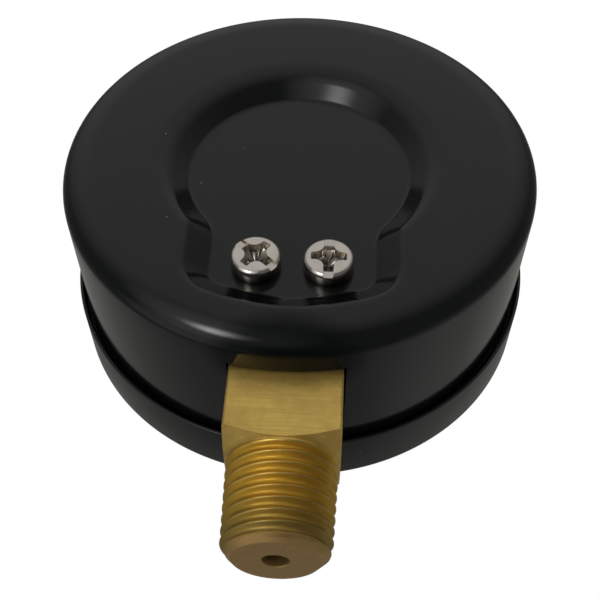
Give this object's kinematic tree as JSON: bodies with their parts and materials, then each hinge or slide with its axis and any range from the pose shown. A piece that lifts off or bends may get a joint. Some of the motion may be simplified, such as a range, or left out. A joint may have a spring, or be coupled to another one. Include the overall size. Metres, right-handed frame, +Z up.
{
  "type": "pressure gauge",
  "caption": "Round dial pressure gauge with a black steel case, slip ring, brass bottom stem with a tapered pipe thread, and a geared Bourdon tube movement.",
  "frame": {"origin": "centre of the stem's threaded end", "axes": "+Z up the stem to the dial axis, dial facing -Y, case back facing +Y, +X to the right as seen from the front"},
  "size_m": [0.067, 0.0301, 0.0866],
  "materials": {
    "black_paint": "gloss",
    "brass": "machined, slightly tarnished",
    "nickel": "nickel plated",
    "bronze": "drawn, dull",
    "steel": "turned",
    "glass": "clear",
    "rubber": "matt",
    "dial_white": "satin",
    "pointer_black": "satin"
  },
  "bodies": {
    "case": {"case_shell": "black_paint", "bezel_ring": "black_paint", "window_lens": "glass", "window_gasket": "rubber", "dial_plate": "dial_white", "dial_screw_left": "nickel", "dial_screw_right": "nickel", "dial_post_left": "brass", "dial_post_right": "brass", "stop_pin": "steel", "stem_socket": "brass", "case_screw_left": "nickel", "case_screw_right": "nickel", "bourdon_tube": "bronze", "movement_bottom_plate": "brass", "movement_top_plate": "brass", "movement_pillar_left": "brass", "movement_pillar_right": "brass", "movement_pillar_lower": "brass", "movement_screw_upper": "steel", "movement_screw_lower": "steel", "pillar_screw": "steel", "hairspring": "bronze", "hairspring_stud": "brass"},
    "pointer_shaft": {"pointer": "pointer_black", "pointer_hub": "brass", "pinion_arbor": "steel", "hairspring_collet": "brass"},
    "sector": {"sector_gear": "brass", "sector_arbor": "steel", "link_pin_sector": "steel"},
    "tube_end": {"tube_tip": "brass", "link_pin_tip": "steel"},
    "link": {"link": "brass"}
  },
  "joints": [
    {"name": "pointer_turn", "type": "hinge", "parent": "case", "child": "pointer_shaft", "pos_m": [0, 0, 0.0531], "axis": [0, 1, 0], "range_deg": [0, 270]},
    {"name": "sector_turn", "type": "hinge", "parent": "case", "child": "sector", "pos_m": [0.00922, 0, 0.04188], "axis": [0, 1, 0], "range_deg": [-27.5, 0]},
    {"name": "tube_opening", "type": "slide", "parent": "case", "child": "tube_end", "axis": [0.3031, 0, 0.953], "range_m": [0, 0.00301], "stiffness_N_per_m": 500, "deforming": ["bourdon_tube"]},
    {"name": "link_swing", "type": "hinge", "parent": "tube_end", "child": "link", "pos_m": [0.0176, 0, 0.0481], "axis": [0, 1, 0], "range_deg": [0, 2.7]}
  ],
  "couplings": [
    {"joint": "pointer_turn", "follows": "tube_opening", "rad_per_m": 1563},
    {"joint": "sector_turn", "follows": "tube_opening", "rad_per_m": -156.3},
    {"joint": "link_swing", "follows": "tube_opening", "rad_per_m": 14.657}
  ]
}
